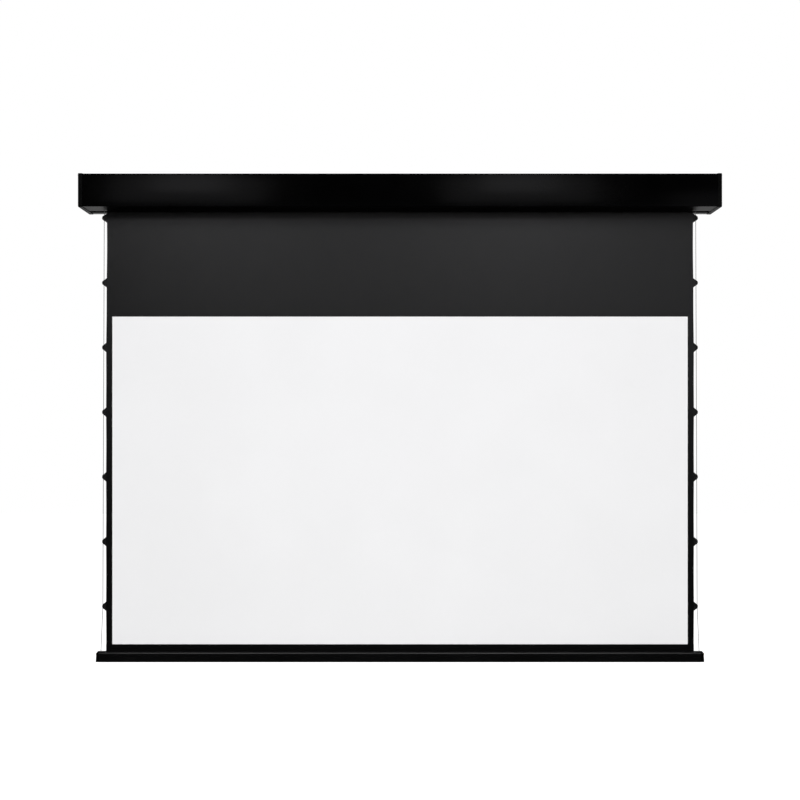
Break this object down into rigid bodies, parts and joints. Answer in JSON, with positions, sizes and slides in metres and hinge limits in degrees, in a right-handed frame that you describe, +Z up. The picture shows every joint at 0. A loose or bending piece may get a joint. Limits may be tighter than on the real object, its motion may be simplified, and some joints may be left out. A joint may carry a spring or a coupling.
{
  "type": "tab-tensioned drop-down projector screen",
  "caption": "Motorised roll-up projector screen in a long wall case, let down, with side tabs on tension cords and a weighted bar that rises into the case.",
  "frame": {"origin": "on the wall plane, halfway along the case, in the middle of the flat land along the back of the case above its mounting channel", "axes": "+X to the right of a viewer in front of the screen, +Y into the wall, +Z up; the picture faces -Y"},
  "size_m": [2.42, 0.131, 1.8559],
  "materials": {
    "black_coat": "satin",
    "black_plastic": "satin",
    "black_cloth": "matte",
    "white_screen": "matte",
    "cord_grey": "satin",
    "steel": "satin",
    "galvanised": "satin",
    "aluminium": "satin",
    "motor_grey": "satin",
    "brass": "satin",
    "black_rubber": "matte"
  },
  "bodies": {
    "case": {"case_housing": "black_coat", "access_cover": "black_coat", "end_plate_right": "galvanised", "end_plate_left": "galvanised", "end_cap_right": "black_plastic", "end_cap_left": "black_plastic", "cover_screw_right": "steel", "cover_screw_left": "steel", "power_inlet": "black_plastic", "control_box": "black_plastic", "motor_lead": "black_rubber", "supply_lead": "black_rubber", "motor_head": "black_plastic", "tubular_motor": "motor_grey", "bearing_housing": "black_plastic", "idler_bearing": "steel", "wall_bracket_right": "galvanised", "wall_bracket_left": "galvanised", "black_drop": "black_cloth", "viewing_surface": "white_screen", "side_border_right": "black_cloth", "side_border_left": "black_cloth", "bottom_border": "black_cloth", "tension_tab_right_1": "black_cloth", "tension_tab_right_2": "black_cloth", "tension_tab_right_3": "black_cloth", "tension_tab_right_4": "black_cloth", "tension_tab_right_5": "black_cloth", "tension_tab_right_6": "black_cloth", "tension_tab_right_7": "black_cloth", "tension_tab_left_1": "black_cloth", "tension_tab_left_2": "black_cloth", "tension_tab_left_3": "black_cloth", "tension_tab_left_4": "black_cloth", "tension_tab_left_5": "black_cloth", "tension_tab_left_6": "black_cloth", "tension_tab_left_7": "black_cloth", "tension_cord_right": "cord_grey", "tension_cord_left": "cord_grey"},
    "roller": {"roller_tube": "aluminium", "motor_crown": "black_plastic", "motor_shaft": "steel", "drive_wheel": "black_plastic", "idler_plug": "black_plastic", "idler_shaft": "steel", "fabric_roll": "black_cloth", "cord_turns_right": "cord_grey", "cord_turns_left": "cord_grey"},
    "bar": {"weight_bar": "black_coat", "hem_rod": "steel", "ballast_rod": "steel", "bar_end_cap_right": "black_plastic", "bar_end_cap_left": "black_plastic", "cord_anchor_right": "brass", "cord_anchor_left": "brass"}
  },
  "joints": [
    {"name": "roller_spin", "type": "hinge", "parent": "case", "child": "roller", "pos_m": [0, -0.0775, -0.033], "axis": [1, 0, 0], "range_deg": [0, 2600]},
    {"name": "bar_travel", "type": "slide", "parent": "case", "child": "bar", "axis": [0, 0, 1], "range_m": [0, 1.7302], "deforming": ["black_drop", "viewing_surface", "side_border_right", "side_border_left", "bottom_border", "tension_tab_right_1", "tension_tab_right_2", "tension_tab_right_3", "tension_tab_right_4", "tension_tab_right_5", "tension_tab_right_6", "tension_tab_right_7", "tension_tab_left_1", "tension_tab_left_2", "tension_tab_left_3", "tension_tab_left_4", "tension_tab_left_5", "tension_tab_left_6", "tension_tab_left_7", "tension_cord_right", "tension_cord_left"]}
  ],
  "couplings": [
    {"joint": "bar_travel", "follows": "roller_spin", "m_per_rad": 0.038128}
  ]
}
